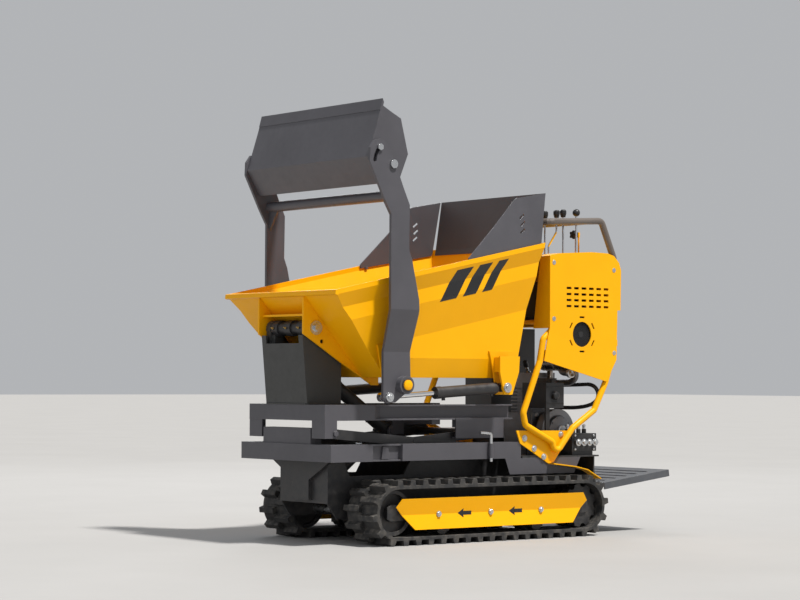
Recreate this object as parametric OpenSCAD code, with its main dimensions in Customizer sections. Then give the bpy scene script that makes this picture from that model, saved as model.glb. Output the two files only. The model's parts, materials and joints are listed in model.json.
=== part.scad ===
// Tracked power wheelbarrow with a scissor-lifted tipping skip and a self-loading shovel.
// Millimetres. -Y is forward, +X is the machine's left side, +Z is up.
// Lengthwise (Y) figures are drawn from the datum under the hull; y_mid moves them so that the
// finished machine is centred on the origin.

/* [Tracks] */
// width of one rubber belt
belt_w = 180; // [160:5:200]
// height of a tread bar above the belt
lug_h = 20; // [14:1:22]
// half of the width over both belts
gauge_half = 360; // [350:1:365]

/* [Frames] */
// half of the lower frame's width
low_half = 285; // [280:1:290]
// half of the upper frame's width
up_half = 240; // [238:1:246]
// plate thickness of the frames
plate = 6; // [5:1:8]

/* [Skip] */
// half of the skip's width at the rim
rim_half = 345; // [335:1:350]
// height of the skip's rim at the back
rim_back_z = 1143; // [1120:1:1150]
// rise of the rim per millimetre of length
rim_rise = 0.207; // [0.2:0.001:0.212]
// sheet thickness of the skip
sheet = 4; // [3:0.5:4]

/* [Loader] */
// distance from the centre plane to the outer face of the arms at the shovel
arm_half = 399; // [397:1:402]
// thickness of the arm plates
arm_t = 12; // [8:1:12]
// half of the shovel's width over its end plates
shovel_half = 384; // [370:1:384]

/* [Cowl and controls] */
// half of the cowl's width
cowl_half = 320; // [319:1:324]
// outer radius of the guard and handle tubes
tube_r = 13.5; // [12:0.5:14]

/* [Output] */
// part to draw, or all

/* [Hidden] */
$fn = 48;
y_mid = 212.58;

// colours
yellow = "#ffc20e";
grey = "#55535a";
dark = "#2b2b2e";
rubber = "#1c1c1d";
steel = "#b8bcc0";

// tracks: wheel centres, belt radii, roller places
trk_z = 120;
idler_y = -375;
sprocket_y = 561;
belt_out = trk_z - lug_h;
belt_in = belt_out - 12;
trk_mid = gauge_half - belt_w / 2;
run = sprocket_y - idler_y;
lugs = 42;
path_len = 2 * run + 2 * PI * belt_out;
pitch = path_len / lugs;
roller_r = 28;
roller_y = [-140, 330];
wheel_r = belt_in - 4;
plate_in = trk_mid - 63;
plate_out = trk_mid + 57;

// scissor: front pivots, bar length, rest angle
p0 = [-590, 340];
p1 = [-590, 411];
link_l = 800;
link_a = asin((p1[1] - p0[1]) / link_l);
link_h = 18;
mid = p0 + link_l / 2 * [cos(link_a), sin(link_a)];
roll_low = [p0[0] + link_l * cos(link_a), p0[1]];
roll_up = [p0[0] + link_l * cos(link_a), p1[1]];
// planes of the bars, left side
bar_b = [204, 214];
bar_a = [222, 232];

// cylinders: foot and eye of each
lift_foot = [-500, 175];
lift_eye = [-260, 360];
tip_foot = [-150, 412];
tip_eye = [-470, 632];
arm_foot = [154, 581];
arm_eye = [-425, 545];
arm_cyl_x = 320;

// hinges
tip_axis = [-599, 799];
arm_axis = [-358, 590];
shovel_axis = [-440, 1395];
shovel_bolt = [-503, 1453];
platform_axis = [712, 196];
platform_rest = 7;
lever_axis = [600, 1078];

// skip bands: drop below the rim line and half width of each fold, then two level folds
drops = [0, 18, 72, 125, 248];
halves = [rim_half, rim_half, rim_half - 19, rim_half - 19, rim_half - 45];
side_half = rim_half - 45;
floor_half = rim_half - 61;
levels = [690, 617];
back_y = 357;
front_slope = 0.892;
back_slope = 0.227;
shovel_tilt = 35;

// pivot places of the levers along their rail
lever_x = [-200, -60, 73, 95, 181, 258];

// ---- helpers ----
module at() translate([0, -y_mid, 0]) children();
// a flat (Y, Z) shape given thickness from x0 to x1
module along_x(x0, x1) translate([x0, 0, 0]) rotate([90, 0, 90]) linear_extrude(x1 - x0) children();
// a flat (X, Z) shape given length from y0 to y1
module along_y(y0, y1) translate([0, y1, 0]) rotate([90, 0, 0]) linear_extrude(y1 - y0) children();
// a box from its low corner to its high corner
module box(a, b) translate(a) cube(b - a);
// the same thing on both sides of the centre plane
module both() {
    children();
    mirror([1, 0, 0]) children();
}
// a shaft along X at (y, z)
module shaft(x0, x1, yz, r) translate([x0, yz[0], yz[1]]) rotate([0, 90, 0]) cylinder(r = r, h = x1 - x0);
// a shaft along Z at (x, y)
module shaft_z(xy, z0, z1, r) translate([xy[0], xy[1], z0]) cylinder(r = r, h = z1 - z0);
// a hexagon head along X at (y, z)
module hex_head(x0, x1, yz, r)
    translate([x0, yz[0], yz[1]]) rotate([0, 90, 0]) cylinder(r = r, h = x1 - x0, $fn = 6);
// a round bar between two points
module bar(p, q, r) {
    d = q - p;
    l = norm(d);
    translate(p) rotate([0, acos(d[2] / l), atan2(d[1], d[0])]) cylinder(r = r, h = l);
}
// a tube of radius r swept along a flat path in the (X, Y) plane, bent round its corners
function unit(v) = v / norm(v);
function turn(a, b) = atan2(a[0] * b[1] - a[1] * b[0], a[0] * b[0] + a[1] * b[1]);
function dir(p, i) = unit(p[(i + 1) % len(p)] - p[i % len(p)]);
// [place, heading] of each ring round corner i
function bend_rings(p, i, bend) = let (d = dir(p, i + len(p) - 1), t = turn(d, dir(p, i)),
    start = p[i] - d * bend * tan(abs(t) / 2), side = sign(t) * [-d[1], d[0]], a0 = atan2(d[1], d[0]))
    [for (k = [0 : 4]) let (a = t * k / 4, c = start + bend * side)
        [c - bend * [side[0] * cos(a) - side[1] * sin(a), side[0] * sin(a) + side[1] * cos(a)], a0 + a]];
function rings(p, bend, closed) = [for (i = [0 : len(p) - 1])
    each (closed || (i > 0 && i < len(p) - 1)) ? bend_rings(p, i, bend)
        : [[p[i], let (d = dir(p, i == 0 ? 0 : i - 1)) atan2(d[1], d[0])]]];
module bent_tube(p, r, bend, closed = false, sides = 20) {
    q = rings(p, bend, closed);
    n = len(q);
    polyhedron(
        points = [for (g = q, k = [0 : sides - 1]) let (f = k * 360 / sides)
            [g[0][0] - r * cos(f) * sin(g[1]), g[0][1] + r * cos(f) * cos(g[1]), r * sin(f)]],
        faces = concat(
            [for (i = [0 : closed ? n - 1 : n - 2], k = [0 : sides - 1])
                let (a = i * sides, b = (i + 1) % n * sides, m = (k + 1) % sides)
                [a + k, b + k, b + m, a + m]],
            closed ? [] : [[for (k = [0 : sides - 1]) k],
                [for (k = [sides - 1 : -1 : 0]) (n - 1) * sides + k]]),
        convexity = 6);
}
// turns a flat (X, Y) drawing to stand in the (Y, Z) plane at x
module upright(x) translate([x, 0, 0]) rotate([90, 0, 90]) children();
// place a part drawn along +Y from a foot, so that it points from foot to eye
module toward(x, foot, eye) {
    translate([x, foot[0], foot[1]])
        rotate([atan2(eye[1] - foot[1], eye[0] - foot[0]), 0, 0]) children();
}
module stadium(r) {
    translate([idler_y, trk_z - r]) square([run, 2 * r]);
    translate([idler_y, trk_z]) circle(r = r, $fn = 96);
    translate([sprocket_y, trk_z]) circle(r = r, $fn = 96);
}
// one tread bar at distance s round the belt
module on_path(s) {
    arc = PI * belt_out;
    if (s < run) translate([idler_y + s, trk_z]) rotate(180) children();
    else if (s < run + arc)
        translate([sprocket_y, trk_z]) rotate(180 + (s - run) / belt_out * 180 / PI) children();
    else if (s < 2 * run + arc) translate([sprocket_y - (s - run - arc), trk_z]) children();
    else translate([idler_y, trk_z]) rotate((s - 2 * run - arc) / belt_out * 180 / PI) children();
}
module tread(shift) {
    for (i = [0 : lugs - 1])
        on_path((i + shift) * pitch)
            polygon([[-14, belt_out - 2], [14, belt_out - 2], [10, belt_out + lug_h],
                [-10, belt_out + lug_h]]);
}

// ---- tracks ----
module belt() at() {
    x0 = gauge_half - belt_w;
    along_x(x0, trk_mid) difference() { union() { stadium(belt_out); tread(0.1); } stadium(belt_in); }
    along_x(trk_mid, gauge_half) difference() { union() { stadium(belt_out); tread(0.6); } stadium(belt_in); }
}
module two_discs(yz, r, hub, bore) difference() {
    union() {
        shaft(trk_mid - 55, trk_mid - 14, yz, r);
        shaft(trk_mid + 14, trk_mid + 55, yz, r);
        shaft(trk_mid - 20, trk_mid + 20, yz, hub);
    }
    shaft(trk_mid - 60, trk_mid + 60, yz, bore);
}
module sprocket() at() difference() {
    two_discs([sprocket_y, trk_z], wheel_r, 48, 20);
    for (i = [0 : 8])
        shaft(trk_mid - 60, trk_mid + 60,
            [sprocket_y + (wheel_r + 3) * cos(i * 40), trk_z + (wheel_r + 3) * sin(i * 40)], 15);
}
module idler() at() difference() {
    two_discs([idler_y, trk_z], wheel_r, 44, 20);
    for (side = [-56, 40]) difference() {
        shaft(trk_mid + side, trk_mid + side + 16, [idler_y, trk_z], wheel_r - 14);
        shaft(trk_mid + side - 1, trk_mid + side + 17, [idler_y, trk_z], 34);
    }
}
module roller(y) at() two_discs([y, trk_z - belt_in + roller_r + 0.6], roller_r, 17, 8);

module track_frame() at() {
    rz = trk_z - belt_in + roller_r + 0.6;
    // two side plates with ears for the rollers
    for (x = [plate_in, plate_out]) along_x(x, x + plate) union() {
        polygon([[-408, 98], [-392, 92], [575, 92], [592, 98], [592, 142], [575, 148], [-392, 148],
            [-408, 142]]);
        for (y = roller_y) translate([y - 26, rz - 14]) square([52, 50]);
    }
    // hollow beam between the plates
    difference() {
        box([plate_in + plate, -262, 98], [plate_out, 448, 146]);
        box([plate_in + plate + 5, -256, 103], [plate_out - 5, 442, 141]);
    }
    // fixed axles
    for (y = roller_y) shaft(plate_in, plate_out + plate, [y, rz], 7.9);
    shaft(plate_in, plate_out + plate, [idler_y, trk_z], 19.9);
    shaft(plate_in, plate_out + plate, [sprocket_y, trk_z], 19.9);
    // hydraulic travel motor inboard of the sprocket
    shaft(plate_in - 12, plate_in, [sprocket_y, trk_z], 56);
    shaft(plate_in - 50, plate_in - 12, [sprocket_y, trk_z], 44);
    // stub axles welded to the hull
    for (y = [-200, 350]) shaft(150, plate_in, [y, 125], 28);
    // standoffs for the guard
    for (y = [-178, 77, 332]) shaft(plate_out + plate, trk_mid + 73, [y, 112], 8);
}
module track_guard() at() difference() {
    intersection() {
        along_y(-400, 600) polygon([[gauge_half - 4, 172], [gauge_half, 172], [gauge_half - 13, 112],
            [gauge_half, 57], [gauge_half - 4, 57], [gauge_half - 17, 112]]);
        along_x(gauge_half - 20, gauge_half + 1)
            polygon([[-356, 173], [-381, 141], [-296, 56], [490, 56], [571, 141], [546, 173]]);
    }
    for (y = [-178, 77, 332]) shaft(gauge_half - 30, gauge_half + 10, [y, 112], 5);
}
module frame_bolts() color(steel) at() {
    // guard bolts with washers
    both() for (y = [-178, 77, 332]) {
        shaft(trk_mid + 73, gauge_half - 10, [y, 112], 4.9);
        shaft(gauge_half - 10, gauge_half - 8, [y, 112], 11);
        hex_head(gauge_half - 8, gauge_half - 2, [y, 112], 8);
    }
    // cowl panel screws
    both() for (p = [[425, 1070], [748, 1050], [425, 850], [750, 720]]) shaft(cowl_half, cowl_half + 3, p, 6);
    // gusset bolts
    both() for (p = [[300, 385], [350, 345], [400, 312], [490, 398]])
        hex_head(low_half + 5, low_half + 11, p, 8);
}

// ---- hull ----
module chassis_frame() color(dark) at() {
    both() along_x(142, 150) polygon([[-500, 92], [-544, 150], [-544, 308], [-470, 308], [-442, 250],
        [-185, 250], [-150, 308], [600, 308], [640, 250], [640, 92]]);
    box([-142, -340, 92], [142, 640, 98]);
    // cross plates
    box([-142, -190, 98], [142, -184, 240]);
    box([-142, 180, 98], [142, 186, 300]);
    box([-142, 634, 98], [142, 640, 250]);
    // front plate with the lift cylinder's foot lugs
    box([-142, -544, 150], [142, -536, 308]);
    for (x = [-34, 26]) difference() {
        union() {
            box([x, -536, lift_foot[1] - 22], [x + 8, lift_foot[0], lift_foot[1] + 22]);
            shaft(x, x + 8, lift_foot, 22);
        }
        shaft(x - 1, x + 9, lift_foot, 12);
    }
    shaft(-37, 37, lift_foot, 12);
    // cross axle between the idlers
    shaft(-plate_in, plate_in, [idler_y, trk_z], 18);
    // engine deck
    box([-low_half, 292, 308], [low_half, 700, 314]);
    // rear skirt that carries the platform hinge
    box([-260, 694, 214], [260, 700, 308]);
    both() difference() {
        union() {
            along_x(252, 260) polygon([[694, 186], [694, 254], [700, 254], [707, 210], [712, 206], [712, 186]]);
            shaft(252, 260, platform_axis, 12);
        }
        shaft(250, 262, platform_axis, 8);
    }
    both() shaft(252, 300, platform_axis, 8);
}
module front_gusset() color(dark) at() {
    along_y(-560, -544) polygon([[-184, 308], [184, 308], [52, 236], [52, 160], [-52, 160], [-52, 236]]);
}
module lower_frame() color(grey) at() {
    difference() {
        union() {
            // front channel, open to the back
            box([-low_half, -631, 308], [low_half, -625, 371]);
            box([-low_half, -625, 308], [low_half, -540, 314]);
            box([-low_half, -625, 365], [low_half, -571, 371]);
            both() box([low_half - plate, -625, 314], [low_half, -571, 365]);
        }
        both() box([198, -618, 364], [220, -570, 372]);
    }
    both() {
        // side channel: outer web with one set-back bay, and two flanges
        box([low_half - plate, -571, 308], [low_half, -439, 371]);
        box([low_half - plate, -299, 308], [low_half, 286, 371]);
        box([low_half - 27, -445, 314], [low_half - 21, -293, 365]);
        box([low_half - 21, -445, 314], [low_half - plate, -439, 365]);
        box([low_half - 21, -299, 314], [low_half - plate, -293, 365]);
        for (z = [308, 365]) {
            box([low_half - 47, -571, z], [low_half - plate, -439, z + 6]);
            box([low_half - 47, -439, z], [low_half - 9, -299, z + 6]);
            box([low_half - 47, -299, z], [low_half - plate, 286, z + 6]);
        }
        // raised pad in the bay
        along_x(low_half - 21, low_half - 13) polygon([[-388, 316], [-350, 316], [-357, 362], [-381, 362]]);
        // front pivot lugs and pin of the outer links
        for (x = [190, 220]) box([x, -625, 314], [x + 8, -572, 365]);
        shaft(198, 220, p0, 12);
        // sleeve of the lock pin
        difference() {
            union() {
                shaft_z([low_half + 10, 125], 312, 367, 9.5);
                box([low_half, 117, 325], [low_half + 6, 133, 355]);
            }
            shaft_z([low_half + 10, 125], 311, 368, 6.1);
        }
    }
    // rest block, cross members
    difference() {
        box([-150, -624, 371], [150, -575, 430]);
        box([-144, -618, 377], [144, -574, 424]);
    }
    box([-low_half + plate, -180, 308], [low_half - plate, -140, 328]);
    box([-low_half + plate, 242, 308], [low_half - plate, 284, 360]);
}
module side_panels() color(grey) at() both()
    along_x(low_half - 3, low_half) polygon([[206, 308], [600, 308], [566, 246], [230, 246]]);
module tube_gussets() color(yellow) at() both() {
    // folded plate that joins both guard tubes to the frame
    along_x(low_half, low_half + 5)
        polygon([[258, 415], [278, 365], [425, 285], [452, 290], [547, 402], [547, 412]]);
    box([low_half - 60, 470, 314], [low_half, 476, 400]);
    // curved mud shield over the back of the belt
    for (s = [[[425, 283], [540, 270]], [[540, 270], [606, 256]], [[606, 256], [678, 219]]])
        along_x(low_half, low_half + 38) polygon([s[0], s[1], s[1] + [0, 4], s[0] + [0, 4]]);
}
guard_x = low_half + 5 + tube_r - 1;
guard_path = [[446, 316], [434, 369], [292, 436], [281, 483], [367, 684], [384, 770], [428, 806], [430, 1000],
    [466, 1040], [700, 1040], [764, 1008], [764, 726], [718, 602], [656, 492], [540, 422]];
module guard_tubes() color(yellow) at() {
    both() {
        upright(guard_x) bent_tube(guard_path, tube_r - 1, 20, closed = true);
        // stub under the handlebar's leg, and the tabs that carry the cowl
        shaft_z([guard_x, 764], 985, 1061, tube_r - 3);
        for (p = [[428, 850], [764, 760]])
            box([guard_x, p[0] - 8, p[1] - 12], [cowl_half - 4, p[0] + 8, p[1] + 12]);
    }
    // cross bars under the fuel tank
    for (y = [430, 764]) shaft(-guard_x, guard_x, [y, 838], 9.5);
}
module skin() polygon([[404, 1080], [404, 1096], [453, 1107], [626, 1118], [714, 1116], [748, 1107],
    [777, 1080], [788, 1049], [785, 890], [781, 890], [784, 1049], [774, 1078], [746, 1103], [713, 1112],
    [626, 1114],
    [453, 1103], [408, 1092], [408, 1080]]);
module cowl_panel() at() {
    difference() {
        along_x(cowl_half - 4, cowl_half) polygon([[404, 1096], [453, 1107], [626, 1118], [714, 1116],
            [748, 1107], [777, 1080], [788, 1049], [785, 890], [768, 889], [763, 692], [709, 605],
            [375, 685], [399, 798], [404, 813]]);
        // rows of vents and the round intake with its six slots
        for (i = [0 : 5], j = [0 : 3])
            box([cowl_half - 10, 492 + 40 * i, 896.5 + 23.7 * j],
                [cowl_half + 5, 518 + 40 * i, 905.5 + 23.7 * j]);
        shaft(cowl_half - 10, cowl_half + 5, [575, 791], 49.5);
        for (a = [30 : 60 : 330]) translate([cowl_half - 10, 575, 791]) rotate([a, 0, 0])
            translate([0, 64, -13]) cube([20, 7, 26]);
    }
    // front flange
    along_y(404, 408) polygon([[cowl_half - 4, 813], [223, 813], [262, 1080], [cowl_half - 4, 1080]]);
}
module console() color(yellow) at() {
    difference() {
        along_x(-cowl_half + 4, cowl_half - 4) skin();
        both() box([282, 735, 1040], [cowl_half - 3, 800, 1125]);
        for (x = lever_x) box([x - 8, 574, 1100], [x + 8, 626, 1125]);
    }
    // bracket of the star knob
    for (x = [222, 240]) bar([x, 630, 1116], [x, 630, 1182], 3);
    difference() {
        box([219, 626, 1180], [243, 634, 1200]);
        translate([231, 640, 1190]) rotate([90, 0, 0]) cylinder(r = 4.1, h = 20);
    }
    // pivot rail of the levers
    both() box([306, 590, 1068], [cowl_half - 4, 610, 1114]);
    shaft(-306, 306, lever_axis, 5);
}
// slope of the handlebar's loop, and its height at y
rise = 3.2;
function bar_z(y) = 1229 + tan(rise) * (y - 405);
module handlebar() color(dark) at() {
    split = 560;
    half = 300;
    l = (split - 405) / cos(rise);
    translate([0, 405, bar_z(405)]) rotate([rise, 0, 0])
        bent_tube([[-half, l], [-half, 0], [half, 0], [half, l]], tube_r, 28);
    both() upright(half)
        bent_tube([[split, bar_z(split)], [696, bar_z(696)], [764, 1100], [764, 1061]], tube_r, 24);
    shaft(-half, half, [660, bar_z(660)], tube_r - 2);
    both() bar([190, 405, bar_z(405)], [190, 420, 1102], tube_r - 2);
}

// ---- power pack ----
module engine_block() color(dark) at() {
    // crankcase, shaft end and feet
    box([-60, 500, 330], [110, 680, 480]);
    shaft(110, 130, [590, 410], 70);
    shaft(-60 - 40, -60, [590, 410], 30);
    both() box([20, 520, 314], [60, 660, 330]);
    // finned barrel and head leaning back
    for (i = [0 : 6]) box([-40, 520, 482 + 14 * i], [90, 640, 488 + 14 * i]);
    box([-20, 535, 480], [70, 625, 580]);
    box([-40, 520, 580], [90, 640, 640]);
    // recoil starter
    difference() {
        shaft(130, 165, [590, 410], 85);
        shaft(135, 166, [590, 410], 60);
    }
    shaft(130, 168, [590, 410], 25);
}
module muffler() color(steel) at() {
    shaft(100, 270, [575, 690], 42);
    shaft(270, 276, [575, 690], 30);
    bar([103, 600, 620], [125, 585, 672], 12);
}
module air_box() color(dark) at() {
    box([130, 430, 500], [270, 524, 600]);
    box([90, 522, 588], [200, 550, 618]);
    for (x = [140, 250]) box([x, 440, 314], [x + 8, 460, 500]);
}
module fuel_tank() color(dark) at() {
    box([-150, 480, 860], [200, 740, 1000]);
    shaft_z([60, 690], 1000, 1018, 34);
    for (x = [-130, 130]) box([x - 12, 424, 847.5], [x + 12, 768, 860]);
}
module hydraulic_tank() color(dark) at() {
    difference() {
        box([-284, 484, 330], [-120, 720, 820]);
        box([-278, 490, 336], [-126, 714, 814]);
    }
    shaft_z([-210, 560], 820, 845, 30);
    for (y = [500, 680]) box([-270, y, 314], [-134, y + 20, 330]);
}
module hydraulic_pump() color(dark) at() {
    shaft(-118, -100, [590, 410], 44);
    box([-116, 560, 352], [-104, 620, 372]);
}
module valve_block() color(dark) at() {
    box([180, 560, 330], [280, 690, 400]);
    for (x = [190, 260]) box([x, 570, 314], [x + 10, 680, 330]);
    for (y = [580, 610, 640, 670]) shaft(280, 296, [y, 365], 10);
    for (y = [580, 610, 640, 670]) shaft_z([230, y], 400, 416, 9);
}

// ---- scissor lift ----
// one bar of the scissor between two pivots, in the (Y, Z) plane
module link_bar(a, b) {
    d = b - a;
    translate(a) rotate(atan2(d[1], d[0])) {
        translate([0, -link_h]) square([norm(d), 2 * link_h]);
        circle(r = link_h);
        translate([norm(d), 0]) circle(r = link_h);
    }
}
function on_a(t) = p1 + t * (roll_low - p1);
function on_b(t) = p0 + t * (roll_up - p0);
module links_outer() color(dark) at() {
    both() {
        difference() {
            along_x(bar_b[0], bar_b[1]) link_bar(p0, roll_up);
            shaft(bar_b[0] - 1, bar_b[1] + 1, p0, 12.1);
        }
        // middle pin and upper roller
        shaft(bar_b[1], bar_a[1] + 2, mid, 14);
        shaft(bar_b[1], 217, roll_up, 10);
        shaft(217, 233, roll_up, 17);
    }
    shaft(-bar_b[0], bar_b[0], on_b(0.95), 13);
    // cross tube that takes the lift cylinder
    shaft(-bar_b[0], bar_b[0], [-214, 373.5], 15);
    both() difference() {
        union() {
            shaft(26, 34, lift_eye, 17);
            along_x(26, 34) polygon([[-260, 343], [-214, 359], [-214, 388], [-260, 377]]);
        }
        shaft(25, 35, lift_eye, 10);
    }
    shaft(-37, 37, lift_eye, 10);
}
module links_inner() color(dark) at() {
    both() difference() {
        union() {
            along_x(bar_a[0], bar_a[1]) link_bar(p1, roll_low);
            shaft(bar_a[1], 240, roll_low, 10);
            shaft(240, 274, roll_low, 24.5);
        }
        shaft(bar_a[0] - 1, bar_a[1] + 1, p1, 12.1);
        shaft(bar_a[0] - 1, bar_a[1] + 1, mid, 14.1);
    }
    for (t = [0.065, 0.93]) shaft(-bar_a[0], bar_a[0], on_a(t), 13);
}
// a hydraulic cylinder's body, drawn along +Y from its foot
module barrel(len, r, bore, rod_r, eye_r, pin, w) difference() {
    union() {
        shaft(-w / 2, w / 2, [0, 0], eye_r);
        box([-w / 2 + 2, 0, -eye_r * 0.7], [w / 2 - 2, 34, eye_r * 0.7]);
        translate([0, 30, 0]) rotate([-90, 0, 0]) cylinder(r = r, h = len - 30);
        translate([0, len - 26, 0]) rotate([-90, 0, 0]) cylinder(r = r + 1.5, h = 26);
        // hose ports
        for (y = [52, len - 40]) translate([0, y, 0]) cylinder(r = 7, h = r + 9);
    }
    shaft(-w, w, [0, 0], pin + 0.1);
    translate([0, 48, 0]) rotate([-90, 0, 0]) cylinder(r = bore, h = len - 74);
    translate([0, len - 27, 0]) rotate([-90, 0, 0]) cylinder(r = rod_r + 0.1, h = 30);
}
// its rod and piston, drawn from the eye back toward the foot
module rod(total, reach, r, bore, eye_r, hole, w) translate([0, total, 0]) difference() {
    union() {
        shaft(-w / 2, w / 2, [0, 0], eye_r);
        translate([0, -reach, 0]) rotate([-90, 0, 0]) cylinder(r = r, h = reach);
        translate([0, -reach, 0]) rotate([-90, 0, 0]) cylinder(r = bore - 0.1, h = 18);
    }
    shaft(-w, w, [0, 0], hole);
}
lift_len = norm(lift_eye - lift_foot);
tip_len = norm(tip_eye - tip_foot);
arm_len = norm(arm_eye - arm_foot);
module lift_barrel() color(dark) at()
    toward(0, lift_foot, lift_eye) barrel(256, 25, 19, 11.5, 22, 12, 48);
module lift_rod() color(steel) at()
    toward(0, lift_foot, lift_eye) rod(lift_len, 220, 11.5, 19, 26, 19, 40);
module tip_barrel() color(dark) at()
    toward(0, tip_foot, tip_eye) barrel(320, 26, 20, 12, 22, 12, 48);
module tip_rod() color(steel) at()
    toward(0, tip_foot, tip_eye) rod(tip_len, 280, 12, 20, 18, 11, 36);
module arm_barrel() at() toward(arm_cyl_x, arm_foot, arm_eye) barrel(330, 21.5, 16, 9.6, 17, 11, 22);
module arm_rod() at() toward(arm_cyl_x, arm_foot, arm_eye) rod(arm_len, 300, 9.6, 16, 17, 10, 22);

// ---- upper frame and tower ----
module upper_frame() color(grey) at() {
    // front channel
    box([-up_half, -626, 458], [up_half, -620, 516]);
    box([-up_half, -620, 510], [up_half, -566, 516]);
    box([-up_half, -620, 458], [up_half, -566, 464]);
    both() {
        // boxed corner with a slanted end
        translate([0, 0, 464]) linear_extrude(46)
            polygon([[up_half, -620], [up_half, -395], [up_half - 24, -355], [up_half - 30, -355],
                [up_half - 6, -397], [up_half - 6, -620]]);
        box([up_half - 40, -566, 510], [up_half, -395, 516]);
        box([up_half - 40, -566, 458], [up_half, -395, 464]);
        // rail, open to the outside
        box([up_half - 34, -566, 464], [up_half - 28, 284, 510]);
        box([up_half - 34, -395, 510], [up_half - 4, 284, 516]);
        box([up_half - 34, -395, 458], [up_half - 4, 284, 464]);
        // hanging bracket with the front pivot of the inner links
        box([up_half - 81, -625, 393], [up_half, -619, 458]);
        box([up_half - 28, -619, 393], [up_half - 20, -570, 458]);
        box([up_half - 6, -619, 393], [up_half, -570, 458]);
        shaft(up_half - 28, up_half, p1, 12);
        hex_head(up_half, up_half + 7, [p1[0] + 12, p1[1]], 11);
        // hanging track of the outer links' upper rollers
        box([up_half - 6, -4, 387], [up_half, 236, 464]);
        box([up_half - 24, -4, 387], [up_half - 6, 236, 393]);
        box([up_half - 24, -4, 429], [up_half - 6, 236, 435]);
        for (y = [-4, 230]) box([up_half - 24, y, 435], [up_half - 6, y + 6, 458]);
    }
    // cross members and tower foot plate
    box([-206, 240, 464], [206, 280, 510]);
    box([-206, -95, 440], [206, -55, 486]);
    both() box([190, -95, 486], [206, -55, 510]);
    box([-200, -566, 510], [200, -440, 516]);
    // lugs of the tipping cylinder
    both() difference() {
        union() {
            box([28, tip_foot[0], 400], [36, -95, 466]);
            shaft(28, 36, tip_foot, 22);
        }
        shaft(27, 37, tip_foot, 12);
    }
    shaft(-39, 39, tip_foot, 12);
}
tower_half = 130;
module tower() color(grey) at() {
    side = [[-625, 516], [-649, 772], [-550, 772], [-482, 700], [-470, 690], [-470, 516]];
    difference() {
        along_x(-tower_half, tower_half) polygon(side);
        // hollow, open at the back
        along_x(-tower_half + plate, tower_half - plate)
            polygon([[-619, 515], [-643, 772], [-640, 780], [-552, 780], [-460, 700], [-460, 515]]);
        // notch for the hinge tube
        box([-104, -660, 742], [104, -540, 790]);
    }
    // ears and the hinge tube with its three collars
    both() difference() {
        union() {
            shaft(104, tower_half, tip_axis, 30);
            box([104, -626, 742], [tower_half, -572, 799]);
        }
        shaft(100, 135, tip_axis, 16.1);
    }
    difference() {
        union() {
            shaft(-104, 104, tip_axis, 24);
            for (x = [-100, -19, 62]) shaft(x, x + 38, tip_axis, 30);
            for (x = [-81, 0, 81]) bar([x, -599, 799], [x, -633, 799], 4);
        }
        shaft(-105, 105, tip_axis, 16.1);
    }
    box([-110, -625, 736], [110, -575, 742]);
    both() box([86, -619, 742], [104, -579, 776]);
}

// ---- skip ----
function front_y(z) = -655 + front_slope * (918 - z);
function rear_y(z) = back_y - back_slope * (rim_back_z - z);
function line_z(d, y) = rim_back_z - d + rim_rise * (y - back_y);
// where a band's fold meets the sloped front and back planes
function fold_front(d) =
    (-655 + front_slope * (918 - rim_back_z + d + rim_rise * back_y)) / (1 + front_slope * rim_rise);
function fold_back(d) = back_y - back_slope * d / (1 - back_slope * rim_rise);
// fold points of one end wall from rim to floor, inset by g; up lifts the rim ones, down raises the floor
function end_pts(front, g, up, down) = concat(
    [for (i = [0 : 4]) let (d = drops[i], k = i == 0 ? up : 0, y = front ? fold_front(d) : fold_back(d))
        [halves[i] - g, front ? y + g - front_slope * k : y - g + back_slope * k, line_z(d, y) + k]],
    [let (z = levels[0]) [side_half - g, front ? front_y(z) + g : rear_y(z) - g, z]],
    [let (z = levels[1] + down) [floor_half - g, front ? front_y(z) + g : rear_y(z) - g, z]]);
module trough(g, up, down) {
    f = end_pts(true, g, up, down);
    b = end_pts(false, g, up, down);
    n = len(f);
    pts = concat(f, b, [for (p = f) [-p[0], p[1], p[2]]], [for (p = b) [-p[0], p[1], p[2]]]);
    polyhedron(points = pts, faces = concat(
        [for (i = [0 : n - 2]) each [[i, n + i, i + 1], [i + 1, n + i, n + i + 1]]],
        [for (i = [0 : n - 2]) let (m = 2 * n + i) each [[m, m + 1, m + n], [m + 1, m + n + 1, m + n]]],
        [for (i = [0 : n - 2]) let (m = 2 * n + i) each [[i, i + 1, m], [i + 1, m + 1, m]]],
        [for (i = [0 : n - 2]) let (m = 3 * n + i) each [[n + i, m, n + i + 1], [n + i + 1, m, m + 1]]],
        [[0, 2 * n, n], [n, 2 * n, 3 * n]],
        [[n - 1, 2 * n - 1, 3 * n - 1], [2 * n - 1, 4 * n - 1, 3 * n - 1]]));
}
module skip() color(yellow) at() {
    difference() {
        trough(0, 0, 0);
        trough(sheet, 30, sheet);
    }
    // folded front lip and the stiffener under it
    along_x(-rim_half - 8, rim_half + 8)
        polygon([[-666, 916], [-664, 932], [-655, 934], [-651, 934], [-651, 913], [-658, 913]]);
    along_x(-136, 136) polygon([[-639, 842], [-639, 850], [front_y(850) + 1, 850], [front_y(842) + 1, 842]]);
}
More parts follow.
